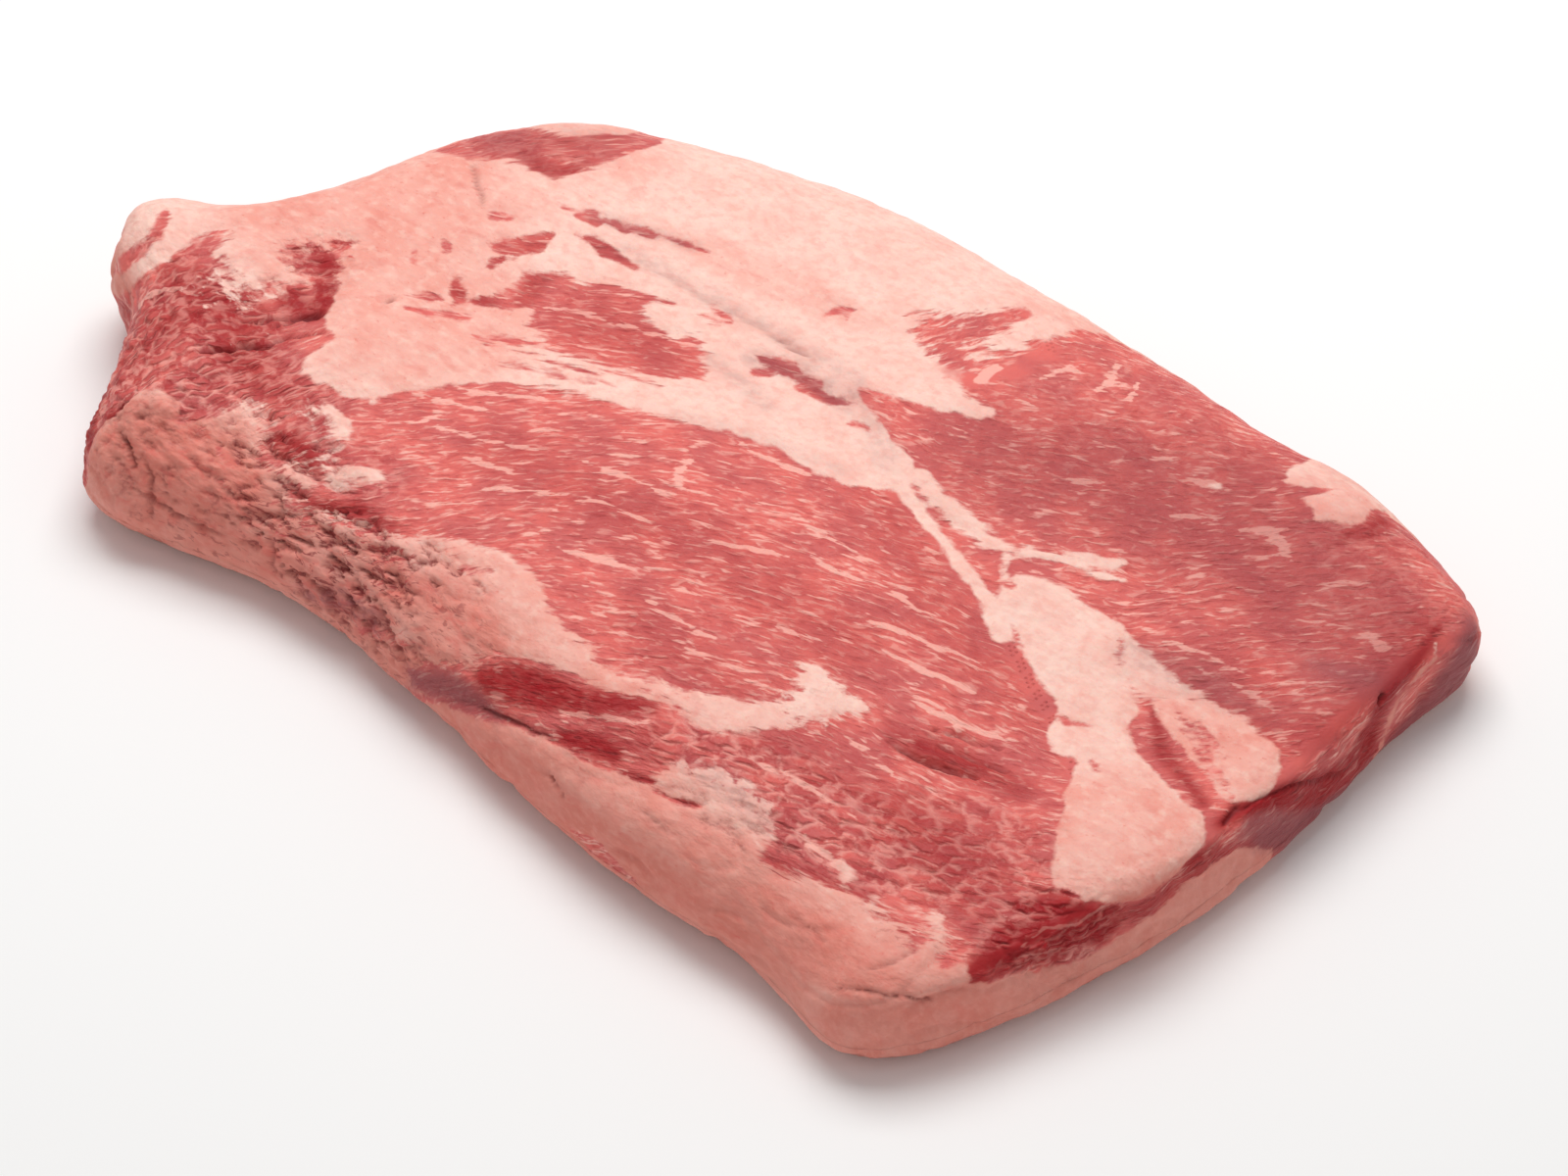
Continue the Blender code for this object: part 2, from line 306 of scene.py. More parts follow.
LEAN_STROKES = [
    [(-106, 68, 1), (-108, 62, 4.5), (-113, 56, 5), (-119, 53, 2)], [(-113, 51, 1.5), (-115, 43, 1)],
    [(-139, 34, 0.8), (-136, 30, 1)], [(-133, 44, 0.7), (-130, 41, 0.9)], [(-127, 64, 2), (-122, 66, 1.5)],
    [(-110, 81, 1), (-105, 82, 1.2)], [(-104, 80, 1.5), (-100, 83, 3), (-96, 82, 2)],
    [(-95, 84, 1.4), (-86, 85, 1.6)], [(-86, 86, 1.5), (-81, 87, 2.4), (-77, 87, 1.4)],
    [(-75, 89, 1), (-68, 90, 1.2)], [(-66, 90, 0.9), (-57, 90, 0.8)],
    [(-99, 73, 1), (-92, 74, 2), (-85, 72, 3), (-73, 71, 1)],
    [(-119, 31, 1.5), (-116, 28, 3), (-113, 23, 2)], [(-109, 27, 1.5), (-105, 30, 3), (-100, 33, 2.4)],
    [(-128, 16, 1.2), (-121, 19, 2), (-117, 21, 1)], [(-123, 9, 1.2), (-114, 14, 1.8), (-106, 19, 2)],
    [(-98, 13, 2.2), (-90, 17, 2.2), (-79, 22, 1.6)], [(-83, 7, 1.1), (-77, 9, 1.2), (-68, 13, 1)],
    [(-72, 10, 0.9), (-62, 13, 1.1), (-52, 15, 0.9)], [(-92, 12, 0.8), (-66, 18, 1), (-54, 20, 0.8)],
    [(-53, 24, 1.3), (-46, 26, 1.4), (-34, 27, 1)], [(-58, 16, 0.8), (-46, 19, 0.8)],
    [(-13, 57, 2), (-8, 58, 3), (4, 56, 2.6), (10, 56, 1.6)], [(-11, 51, 1.5), (-8, 54, 2)],
    [(4, 53, 1.8), (18, 52, 1.8), (24, 54, 1)], [(-6, 86, 1.2), (-3, 89, 2.2), (0, 91, 1.8), (1, 87, 1)],
    [(-43, 68, 1.2), (-37, 68, 1.6), (-32, 66, 1)], [(-41, 64, 0.9), (-36, 64, 1.4)],
    [(28, 47, 0.8), (35, 47, 1)],
    [(66, 29, 0.8), (76, 25, 1.8), (86, 20.5, 2), (97, 15.5, 2.2), (104, 11, 1.6)],
    [(88, 21, 1.2), (97, 21, 1.4), (104, 17, 1.8), (110, 14, 1.2)],
    [(185, -8, 0.8), (198, -16, 1), (208, -22, 0.8)], [(188, -3, 0.7), (202, -11, 0.8)],
    [(181, -3, 0.6), (192, -9, 0.9), (203, -17, 0.8), (212, -24, 0.6)], [(119, -1, 0.8), (126, -6, 0.9)],
    [(133, -13, 0.8), (140, -17, 0.9)], [(148, -24, 0.8), (153, -25, 1), (160, -23, 0.8)],
    [(168, -35, 0.8), (172, -38, 0.8)], [(-102, -84, 1.5), (-92, -77, 4), (-80, -73, 3)],
    [(-70, -88, 1), (-57, -84, 1.3)], [(-42, -79, 1.2), (-30, -76, 1)],
    [(-72, -126, 1.2), (-60, -123, 0.9), (-48, -120, 1.2)], [(-147, -75, 0.9), (-145, -77, 0.9)],
    [(-137, -80, 0.9), (-134, -83, 0.9)], [(-131, -92, 0.9), (-128, -94, 0.9)],
    [(52, -124, 1.5), (60, -121, 1)], [(62, -124, 1), (70, -124, 1.4), (77, -122, 0.8)],
    [(172, -122, 3), (174, -127, 3)], [(30, -159, 1.5), (40, -161, 3.5), (50, -164, 3), (58, -167, 1.5)],
    [(-66, -141, 1.5), (-48, -141, 2), (-34, -138, 1)],
    [(-34, 166, 1.5), (-12, 171, 3), (22, 170, 2.5), (40, 166, 1)],
    [(76, 158, 1), (98, 160, 2.5), (126, 158, 2), (140, 154, 1)],
    [(-96, 162, 1), (-78, 168, 2), (-62, 170, 1)],
    [(-219, 1, 2), (-216, -9, 3), (-222, -21, 4), (-232, -28, 3.5), (-243, -32, 2)],
    [(-3, -129, 0.7), (20, -126, 0.7)],
]

# Lumps and threads of fat that lie in the lean.
FAT_STROKES = [
    [(50, 36, 3), (62, 29, 2.4), (74, 22, 2.2), (86, 16, 2.2), (98, 9, 2.6), (109, 3, 3.2), (118, -5, 4)],
    [(60, 38, 3.2), (70, 33, 3), (82, 30, 3.4), (92, 27, 3), (100, 26, 1.8)],
    [(98, 26, 1.8), (106, 28, 1.3), (116, 33, 1.3), (124, 37, 2), (131, 39, 2.8), (134, 43, 1.2)],
    [(102, 24, 1.2), (106, 16, 1.4)], [(120, 33, 0.8), (131, 33, 1.4), (138, 36, 1)],
    [(-119, -45, 2.2), (-108, -46, 2.4), (-105, -55, 1.8)],
    [(-97, -69, 2.2), (-92, -63, 2.6), (-85, -60, 2)],
    [(-115, -83, 2.6), (-110, -75, 2.8), (-104, -76, 2.4)],
    [(127, -113, 1), (131, -116, 2.2), (132, -119, 1)], [(160, -113, 1), (168, -124, 2.6), (166, -129, 2)],
    [(140, 88, 0.8), (142, 89, 1.2)], [(-184, -103, 4), (-174, -104, 5)], [(-165, 0, 0.9), (-160, 2, 0.9)],
    [(-168, -76, 2.5), (-161, -75, 4)], [(-108, -31, 1.2), (-106, -33, 1.4)],
    [(260, 37, 2), (253, 41, 0.8), (243, 46, 0.9), (241, 55, 0.8), (241, 66, 0.9), (236, 70, 0.6)],
]

# Thicker streaks of the marbling.
MARBLING_STROKES = [
    [(-218, -43, 0.8), (-204, -33, 1.4), (-194, -27, 1.4), (-184, -26, 0.6)],
    [(-82, -31, 0.6), (-68, -28, 1.2), (-48, -22, 0.6)],
    [(-66, -38, 0.6), (-58, -37, 1.5), (-48, -36, 0.6)],
    [(-60, -49, 0.5), (-46, -43, 0.9), (-28, -35, 0.7)], [(-90, -12, 0.5), (-78, -8, 1), (-60, 0, 0.6)],
    [(-96, -22, 0.5), (-84, -18, 0.9), (-72, -16, 0.5)], [(-18, -57, 0.5), (0, -52, 1.8), (10, -52, 0.6)],
    [(18, -114, 1.2), (28, -110, 1.3), (48, -101, 1)], [(112, -112, 0.9), (127, -114, 2)],
    [(158, 76, 1), (166, 81, 2), (172, 79, 1.4), (178, 74, 1)], [(134, 86, 0.8), (140, 89, 1.4)],
    [(87, 121, 1.2), (89, 112, 1.6), (88, 105, 1)], [(97, 118, 0.9), (99, 108, 1.1)],
    [(55, 94, 2), (54, 86, 2)], [(70, 98, 1), (75, 109, 1)],
    [(120, -19, 0.5), (105, -23, 1.1), (80, -27, 0.5)], [(124, -32, 0.5), (108, -34, 0.9), (92, -35, 0.5)],
    [(23, -27, 0.5), (33, -23, 1.2), (46, -18, 0.4)], [(-32, -18, 0.5), (-12, -17, 0.9), (0, -16, 0.5)],
    [(52, -14, 0.5), (62, -15, 1.4), (70, -14, 0.6)], [(-86, -26, 1.6), (-88, -32, 0.8)],
    [(-5, 2, 0.9), (-4, -6, 0.9), (1, -12, 0.6)], [(4, 18, 0.6), (14, 17, 1.1), (36, 18, 0.7)],
    [(-22, -32, 0.4), (-10, -31, 0.9), (4, -31, 0.5)], [(110, -47, 0.4), (122, -46, 1.4), (144, -41, 0.5)],
    [(82, -95, 0.4), (96, -94, 1), (124, -97, 0.5)], [(60, -47, 0.5), (74, -44, 0.8)],
    [(195, -98, 0.6), (202, -94, 0.9), (204, -84, 0.9)],
    [(191, -110, 0.5), (192, -100, 0.8), (197, -98, 0.6)],
    [(194, -113, 0.6), (205, -106, 0.6), (216, -96, 0.5)], [(-88, 40, 0.5), (-60, 47, 0.8), (-30, 51, 0.5)],
    [(136, 68, 0.5), (144, 73, 0.9), (152, 77, 0.5)], [(98, 60, 0.4), (106, 65, 0.9), (112, 68, 0.4)],
    [(40, -2, 0.4), (52, -3, 0.9), (66, -5, 0.4)], [(70, -10, 0.4), (84, -12, 1), (100, -14, 0.4)],
    [(20, -60, 0.4), (34, -62, 1.1), (48, -61, 0.4)], [(96, -70, 0.4), (108, -72, 1), (122, -75, 0.4)],
    [(40, -70, 0.4), (52, -70, 1), (62, -68, 0.4)], [(110, 80, 0.4), (118, 86, 0.9), (124, 92, 0.4)],
    [(190, 70, 0.4), (198, 76, 0.8), (204, 82, 0.4)], [(213, 60, 1.4), (221, 58, 2)],
    [(160, 21, 0.5), (176, 24, 1), (190, 23, 0.5)], [(176, 17, 0.4), (194, 18, 0.8), (206, 15, 0.4)],
]

# Darker lean, dried at the air or lying deep, together with painted shade down the end walls and in the lip
# under the right end's rim: (strength, softness, stroke).
DARK_LEAN_AND_SHADE = [
    (0.9, 3, [(-128, -68, 2), (-119, -62, 4), (-108, -66, 6), (-112, -75, 3)]),
    (0.8, 2, [(-100, -83, 2), (-84, -76, 4)]), (0.6, 3, [(-82, -74, 3), (-70, -77, 4)]),
    (0.6, 3, [(-65, -87, 3), (-54, -85, 3)]),
    (1, 3, [(-13, -117, 6), (0, -112, 9), (12, -108, 8), (20, -105, 5)]),
    (1, 3, [(28, -101, 3), (46, -96, 2.5)]), (1, 3, [(22, -123, 3), (34, -120, 5), (42, -119, 4)]),
    (0.9, 2, [(48, -125, 2), (58, -122, 2), (75, -121, 2)]),
    (0.4, 5, [(-44, -134, 3), (-24, -128, 6), (-8, -127, 3)]),
    (0.35, 6, [(30, -110, 6), (50, -106, 6), (70, -112, 4)]),
    (0.5, 3, [(26, -122, 4), (40, -116, 4), (54, -111, 3)]),
    (1, 5, [(186, -92, 4), (198, -91, 7), (212, -92, 7)]),
    (1, 5, [(190, -122, 3), (193, -110, 7), (205, -103, 8)]),
    (0.75, 4, [(222, -48, 5), (221, -62, 6), (219, -76, 6)]),
    (1, 3, [(216, -34, 3), (218, -27, 4), (225, -17, 5), (234, -6, 7), (246, 6, 9), (252, 18, 10),
     (252, 28, 8)]),
    (1, 3, [(252, 28, 8), (246, 34, 6), (238, 39, 5), (234, 46, 3.5), (235, 60, 3.5), (232, 76, 2.5)]),
    (1, 3, [(186, -124, 6), (188, -110, 10), (199, -100, 11), (213, -88, 8)]),
    (0.9, 3, [(180, -97, 3), (190, -92, 4)]), (0.4, 8, [(136, -88, 12), (160, -94, 14), (178, -110, 8)]),
    (0.75, 5, [(226, -50, 6), (240, -28, 8), (256, -4, 9), (268, 26, 12), (268, 60, 13), (258, 84, 12)]),
    (0.3, 6, [(206, 0, 4), (216, 8, 8), (226, 26, 9), (226, 50, 8), (226, 72, 6)]),
    (0.45, 6, [(160, 6, 6), (184, 4, 8), (204, 6, 6)]),
    (0.8, 4, [(14, -108, 4), (26, -106, 5), (40, -98, 3)]),
    (0.45, 8, [(-196, -40, 12), (-172, -20, 14), (-156, -36, 10)]),
    (0.45, 8, [(-120, 30, 10), (-104, 60, 10), (-70, 86, 8)]),
    (0.65, 5, [(112, -61, 2), (126, -58, 6), (140, -57, 6), (156, -57, 4)]),
    (0.9, 2, [(122, -60, 2), (142, -57, 2)]),
    (0.55, 3, [(104, -127, 2), (120, -122, 3), (140, -120, 3), (160, -127, 2)]),
    (0.9, 4, [(-176, -80, 3), (-186, -90, 4), (-190, -106, 4)]),
    (0.55, 8, [(-182, -40, 8), (-190, -60, 10)]),
    (1, 4, [(-212, -72, 4), (-208, -86, 5), (-200, -100, 5), (-184, -110, 3)]),
    (0.28, 10, [(-60, -30, 10), (20, -30, 14), (80, -40, 14)]),
    (0.3, 14, [(60, 20, 8), (100, -10, 10), (140, -30, 8)]),
    (0.85, 3, [(-161, 14, 3), (-151, 8, 4), (-148, -8, 5), (-158, -8, 5)]),
    (0.8, 2, [(-163, 24, 2), (-156, 28, 2)]), (0.6, 8, [(-168, -28, 8), (-150, -44, 8)]),
    (0.5, 6, [(-200, -22, 8), (-176, -22, 6)]), (0.5, 4, [(-168, 10, 5), (-156, 12, 4), (-150, -2, 4)]),
    (0.8, 3, [(186, 92, 2), (193, 100, 3), (194, 112, 3)]), (0.35, 10, [(-70, 42, 14), (-40, 42, 8)]),
    (0.5, 2, [(-96, 38, 4), (-98, 50, 3)]), (0.75, 2, [(-104, 30, 2), (-116, 27, 2)]),
    (0.8, 2, [(172, -4, 1), (184, -19, 3), (206, -31, 2)]),
    (0.4, 20, [(80, 62, 20), (140, 80, 30), (204, 66, 26)]),
    (0.5, 2, [(-13, 57, 2), (4, 56, 2), (20, 52, 2)]), (0.4, 6, [(-140, -46, 6), (-118, -50, 4)]),
    (0.6, 6, [(-240, -50, 10), (-225, -70, 14), (-212, -100, 14)]),
    (0.3, 12, [(20, -68, 8), (90, -84, 12), (150, -90, 10)]), (0.4, 12, [(-150, 100, 10), (-125, 118, 10)]),
    (0.6, 3, [(-136, 96, 3), (-122, 94, 4), (-116, 104, 3)]),
    (0.3, 12, [(180, 20, 12), (225, 20, 12), (225, 70, 12)]),
]

# Silverskin and greyish, drying fat, and painted shade on the near-left wall and at its foot.
GREY_SKIN_AND_SHADE = [
    (0.9, 6, [(244, 92, 6), (256, 74, 9), (266, 54, 8)]),
    (0.7, 4, [(248, -14, 4), (240, -20, 4), (228, -30, 4)]),
    (0.8, 3, [(226, -27, 2), (234, -18, 3), (246, -8, 3), (256, 4, 3), (262, 22, 3)]),
    (0.4, 6, [(204, 38, 5), (226, 42, 6)]),
    (0.25, 4, [(156, 12, 4), (172, 12, 5), (188, 12, 5), (206, 10, 3)]),
    (1, 4, [(240, -22, 5), (256, -4, 7), (270, 22, 10), (272, 56, 12), (264, 84, 12)]),
    (0.4, 6, [(158, 14, 4), (176, 17, 6), (194, 14, 5)]),
    (0.35, 20, [(80, 62, 20), (140, 80, 30), (204, 66, 26)]),
    (0.25, 8, [(204, 16, 6), (216, 30, 10), (226, 48, 8)]),
    (0.4, 2.5, [(206, 40, 3), (216, 41, 3.5), (226, 45, 2)]),
    (0.35, 12, [(-150, 100, 12), (-120, 120, 10)]),
    (0.95, 4, [(-94, -121, 4), (-80, -117, 6), (-66, -118, 5)]),
    (0.25, 5, [(156, 8, 5), (174, 8, 5), (190, 8, 3)]),
    (0.15, 8, [(-94, -104, 8), (-66, -98, 9), (-40, -88, 7)]),
    (0.85, 4, [(-48, -134, 4), (-26, -128, 7), (-8, -130, 3)]),
    (0.35, 4, [(68, -109, 4), (84, -108, 6), (98, -113, 5)]),
    (0.4, 4, [(-28, 48, 2), (-12, 44, 3), (2, 38, 2)]), (0.55, 3, [(-16, 56, 3), (1, 58, 4), (22, 54, 4)]),
    (0.45, 8, [(-140, -150, 10), (-100, -150, 12), (-60, -150, 10)]),
    (0.35, 4, [(-80, 76, 3), (-20, 70, 3), (20, 64, 3)]),
    (0.35, 5, [(19, 60, 3), (34, 52, 4), (47, 39, 4)]), (0.3, 5, [(-20, 18, 2), (10, 24, 2), (40, 26, 2)]),
    (0.5, 3, [(-100, 84, 3), (-84, 86, 3), (-62, 90, 2)]),
]

# Folds, cracks and small holes: (strength, softness, stroke). These are cut into the form too, and their
# colour is darkened as painted shade.
CREVICES = [
    (0.9, 0.8, [(-167, -47, 0.3), (-157, -36, 1), (-149, -24, 0.8), (-139, -16, 0.4)]),
    (1, 0.9, [(-147, -9, 2.2), (-151, -12, 1.6)]),
    (0.9, 0.8, [(-166, -26, 0.3), (-156, -16, 0.8), (-146, -9, 1)]),
    (0.9, 0.7, [(-150, -26, 0.3), (-151, -30, 0.9), (-157, -35, 1.1)]),
    (0.9, 0.7, [(-157, -35, 1.1), (-160, -41, 0.9), (-167, -47, 0.3)]),
    (0.9, 0.7, [(-150, -12, 0.6), (-156, -20, 0.4)]),
    (0.55, 0.9, [(-147, 80, 0.5), (-140, 73, 0.6), (-133, 66, 0.4)]),
    (0.9, 0.9, [(113, -65, 0.3), (125, -64, 1.2), (135, -62, 1), (142, -60, 0.3)]),
    (0.7, 0.8, [(122, -52, 0.3), (130, -49, 0.8), (142, -46, 0.3)]),
    (0.6, 0.8, [(126, -56, 0.5), (148, -53, 0.7)]),
    (0.6, 1, [(-15, -131, 0.6), (1, -128, 1.1), (18, -126, 0.6)]),
    (0.7, 0.8, [(-171, -96, 0.4), (-166, -101, 0.9), (-162, -107, 0.4)]),
    (0.6, 0.6, [(-162, -65, 1), (-160, -65, 0.9)]), (0.6, 0.6, [(-167, -84, 0.9), (-168, -86, 0.9)]),
    (0.6, 0.5, [(-130, 10, 1), (-130, 8, 0.8)]), (0.7, 0.7, [(216, -26, 1.4), (217, -33, 1.5)]),
    (0.7, 0.8, [(233, 42, 1.2), (235, 40, 1.2)]),
    (0.5, 1, [(217, -30, 0.6), (221, -18, 0.8), (230, -5, 0.8), (241, 7, 0.8), (248, 18, 0.6)]),
    (0.25, 1.2, [(-74, 74, 0.3), (-49, 71, 0.5), (-29, 70, 0.6), (-11, 67, 0.9)]),
    (0.5, 1, [(-13, 67, 0.4), (-6, 66, 0.9), (2, 65, 0.4)]),
    (0.55, 1, [(-161, -99, 0.4), (-154, -107, 0.8), (-153, -120, 0.8), (-151, -126, 0.5)]),
    (0.5, 1, [(-151, -119, 0.5), (-141, -118, 0.8), (-131, -118, 0.7), (-124, -116, 0.4)]),
    (0.35, 0.9, [(-140, -98, 0.3), (-124, -101, 0.6), (-112, -96, 0.3)]),
    (0.4, 0.8, [(-109, -106, 0.6), (-106, -120, 0.6)]), (0.4, 0.8, [(-88, -100, 0.5), (-80, -104, 0.7)]),
    (0.4, 0.8, [(-64, -104, 0.5), (-55, -108, 0.7)]), (0.35, 0.8, [(-98, -112, 0.5), (-90, -116, 0.7)]),
    (0.4, 0.8, [(20, -140, 0.4), (28, -146, 0.6)]), (0.35, 0.8, [(60, -134, 0.4), (74, -137, 0.6)]),
    (0.45, 0.8, [(155, -143, 0.4), (160, -136, 0.6), (163, -129, 0.5)]),
    (0.45, 0.8, [(147, -156, 0.4), (160, -151, 0.6), (182, -142, 0.5)]),
    (0.3, 0.8, [(120, -140, 0.4), (134, -142, 0.6)]),
]

# Swellings of the surface: (height, middle, reach).
SWELLINGS = [
    (2.2, (-178, -108), (11, 10)), (2.2, (-168, -126), (13, 9)), (1.6, (-146, -94), (16, 14)),
    (1.4, (-122, -102), (15, 12)), (1.8, (-196, -70), (14, 16)), (1.4, (-208, -44), (12, 12)),
    (1.5, (-96, -112), (12, 9)), (1.5, (-44, -110), (18, 12)), (1.4, (-163, -75), (8, 6)),
    (1.3, (-92, -62), (8, 6)), (1.2, (-108, -78), (8, 6)), (1.2, (-82, -86), (12, 5)),
    (-1.6, (-8, -128), (22, 7)), (1.4, (50, -142), (36, 12)), (-1.2, (78, -122), (26, 8)),
    (1.8, (190, -62), (24, 20)), (1.5, (182, 106), (15, 12)), (-1.4, (-152, -22), (14, 16)),
    (1.3, (-126, -10), (22, 22)), (1.4, (-172, -42), (14, 12)), (-1.5, (0, -108), (34, 9)),
    (1.2, (-216, -8), (10, 12)), (-1, (-206, -10), (8, 14)), (1.2, (120, -140), (30, 10)),
    (-0.8, (180, -17), (10, 6)), (-2.2, (-212, 40), (14, 16)), (1.5, (-238, -30), (14, 16)),
    (1, (140, 5), (14, 12)), (-1, (76, 26), (16, 4)), (1.1, (-184, 0), (9, 7)), (-1.1, (-160, 12), (8, 12)),
    (1, (-134, 24), (14, 12)), (1.2, (-110, 78), (26, 14)),
]

# Trimmed fat that is rosier and darker, as down the walls, partly its own colour and partly painted shade:
# (strength, middle, reach).
TRIMMED_AND_SHADED = [
    (1, (-146, -100), (44, 34)), (0.9, (-80, -106), (46, 24)), (0.85, (-34, -106), (30, 24)),
    (0.65, (70, -138), (90, 17)), (0.9, (136, -147), (56, 17)), (0.65, (176, -142), (44, 26)),
    (0.5, (0, -124), (26, 8)),
]

# Where fat and lean are mixed in crumbs and shreds: (strength, middle, reach).
SHREDDED = [
    (0.95, (-84, -98), (48, 24)), (0.6, (-36, -106), (28, 18)), (0.7, (-116, -68), (30, 14)),
    (0.7, (82, -112), (30, 10)), (0.55, (84, -66), (30, 14)), (0.4, (40, -88), (50, 8)),
    (0.5, (-62, -118), (40, 14)), (0.8, (-172, -32), (34, 34)), (0.6, (-130, -56), (30, 16)),
    (0.4, (-45, -76), (30, 8)), (0.5, (40, 96), (22, 18)), (0.45, (0, -118), (30, 10)),
    (0.5, (-100, -130), (70, 22)), (0.5, (160, -120), (24, 12)), (0.4, (-205, -60), (26, 34)),
    (0.35, (-190, 2), (18, 14)), (0.6, (-165, 14), (20, 16)), (0.4, (-34, -84), (36, 10)),
    (0.4, (20, 166), (120, 14)), (0.25, (-122, 40), (22, 30)), (0.15, (168, 7), (22, 12)),
]

# Where trimmed fat is lumpy, in knobs parted by creases: (strength, middle, reach).
PEBBLED = [
    (1, (-150, -98), (44, 36)), (1, (-84, -104), (46, 30)), (0.8, (-36, -104), (28, 22)),
    (0.35, (60, -138), (150, 26)), (0.6, (192, -60), (34, 32)), (0.4, (0, 172), (150, 16)),
    (0.4, (150, 0), (40, 30)), (0.5, (182, 106), (20, 16)), (0.25, (-100, 20), (60, 90)),
    (0.6, (-190, 10), (26, 40)), (0.3, (-20, -84), (60, 12)),
]

# Where dark gaps open between clumps of trimmed fat, darkened partly as painted shade: (strength, middle,
# reach).
GAPPED = [
    (1, (-88, -98), (42, 26)), (0.9, (-118, -70), (24, 20)), (0.8, (-58, -84), (34, 10)),
    (0.3, (-152, -96), (42, 36)), (0.6, (-72, -122), (34, 12)), (0.3, (92, -120), (28, 12)),
    (0.25, (-150, -60), (30, 14)), (0.4, (-70, 176), (44, 16)), (0.4, (70, 168), (60, 14)),
]

# Where the border of fat and lean is drawn out in streaks, and where fine veins of fat
# make a net through the lean: (strength, middle, reach along and across).
STREAKED_BORDERS = [
    (0.7, (-55, 12), (54, 14)), (0.9, (44, 100), (46, 28)), (0.8, (-95, -60), (50, 14)),
    (0.4, (96, 30), (42, 12)), (0.35, (176, 6), (36, 14)), (0.5, (-190, -10), (40, 30)),
    (0.6, (130, -122), (44, 14)), (0.6, (-140, 96), (40, 26)), (0.9, (-56, 42), (48, 28)),
    (0.4, (30, -85), (62, 20)), (0.5, (90, 122), (40, 10)), (0.5, (-36, -72), (30, 10)),
]
VEIN_NET = [
    (1, (-176, -46), (42, 46)), (0.8, (-134, -48), (26, 20)), (0.9, (-160, 8), (18, 26)),
    (0.45, (-138, 98), (40, 26)), (0.25, (104, 102), (58, 24)), (0.6, (-104, -60), (34, 18)),
    (1, (198, -100), (30, 26)), (0.9, (110, -102), (72, 20)), (0.7, (156, -84), (34, 22)),
    (0.35, (210, 90), (36, 34)), (0.2, (0, -108), (50, 14)), (0.9, (-215, -70), (34, 50)),
    (0.7, (-200, -20), (30, 20)),
]

# Rosier fat, partly its own blush and partly painted shade on the front band: (strength, middle, reach).
ROSY_FAT_AND_SHADE = [
    (0.8, (-120, 10), (44, 46)), (1, (-170, 50), (60, 60)), (0.8, (192, -62), (36, 36)),
    (0.6, (180, 104), (24, 20)), (0.9, (-10, -88), (80, 24)), (0.95, (196, -8), (36, 20)),
    (0.9, (-150, -90), (60, 34)), (0.8, (60, -140), (150, 36)), (0.6, (-140, 120), (50, 40)),
    (0.4, (120, 130), (90, 20)), (0.5, (60, -86), (60, 16)), (0.5, (-30, 90), (50, 10)),
]

# Which way the meat's fibres run, as (x, rise along x) of each muscle. The back muscle has its
# own outline, and a fringe of it, an oval, runs its own way.
FRONT_FIBRES = [
    (-220, 1.0), (-150, 0.9), (-110, 0.55), (-60, 0.45), (-10, 0.28), (40, 0.22), (90, 0.18), (150, 0.2),
    (240, 0.12),
]
BACK_FIBRES = [
    (-200, 0.4), (-80, 0.42), (-20, 0.22), (30, 0.2), (60, 0.45), (100, 0.58), (145, 0.72), (240, 0.66),
]
BACK_MUSCLE = [
    (-98, 300), (-98, 118), (-116, 76), (-138, 72), (-138, -2), (-100, -8), (-60, 15), (0, 24), (40, 28),
    (62, 29), (86, 16), (109, 3), (134, -16), (160, -34), (180, -60), (220, -70), (400, -70), (400, 300),
]
FRINGE_MIDDLE, FRINGE_REACH = (38, 106), (26, 24)
FRINGE_FIBRES = [(0, 1.25), (1, 1.25)]

# Beyond these the ends are cut square, and their streaks run round the wall.
LEFT_WALL, RIGHT_WALL = -190, 140
WALL_BEGINS = 4.0

# Two neighbouring points further apart than this on the grain lie on two sides of a join,
# where no streak may be drawn. The fades are the shares kept one and more points away.
BREAK = 9.0
BREAK_FADES = (0.75, 0.4)

# How far apart the runs of fibres lie in their pattern, and the underside from the top.
RUN_GAP, UNDERSIDE_GAP = 40.0, 60

# How deep the fat counts on the underside, how far borders are followed in and out, how
# ragged they are, and the shares of its reach where an oval patch is gone and is whole.
UNDERSIDE_FAT, BORDER_REACH, RAGGEDNESS, OVAL_FADE = 12, 14.0, 0.9, (1.15, 0.6)


def within_reach(strokes, at, margin):
    low, high = strokes.min(0) - margin, strokes.max(0) + margin
    return np.flatnonzero(((at > low) & (at < high)).all(1))


def area_field(outline, at, margin=BORDER_REACH):
    """How deep each point lies inside a closed outline, negative outside."""
    outline = np.array(outline, float)
    field = np.full(len(at), -margin)
    near = within_reach(outline, at, margin)
    gap, _ = nearest_on(np.vstack([outline, outline[:1]]), at[near])
    field[near] = np.where(is_inside(outline, at[near]), gap, -gap)
    return np.clip(field, -margin, margin)


def stroke_field(stroke, at, margin=BORDER_REACH):
    """How deep each point lies inside a round-ended stroke, negative outside."""
    stroke = np.array(stroke, float)
    field = np.full(len(at), -margin)
    near = within_reach(stroke[:, :2], at, margin + stroke[:, 2].max())
    gap, place = nearest_on(stroke[:, :2], at[near])
    field[near] = np.interp(place, np.arange(len(stroke)), stroke[:, 2]) - gap
    return np.clip(field, -margin, margin)


def washes(strokes, at):
    """Soft patches laid over each other, from 0 to 1."""
    result = np.zeros(len(at))
    for strength, softness, stroke in strokes:
        margin = max(BORDER_REACH, 2 * softness)
        patch = strength * smoothstep(-softness, softness, stroke_field(stroke, at, margin))
        result = result + patch - result * patch
    return result


def ovals(patches, at):
    """Soft oval patches, from 0 to 1."""
    result = np.zeros(len(at))
    for strength, middle, reach in patches:
        far = np.hypot(*((at - np.array(middle)) / np.array(reach)).T)
        result = np.maximum(result, strength * smoothstep(*OVAL_FADE, far))
    return result


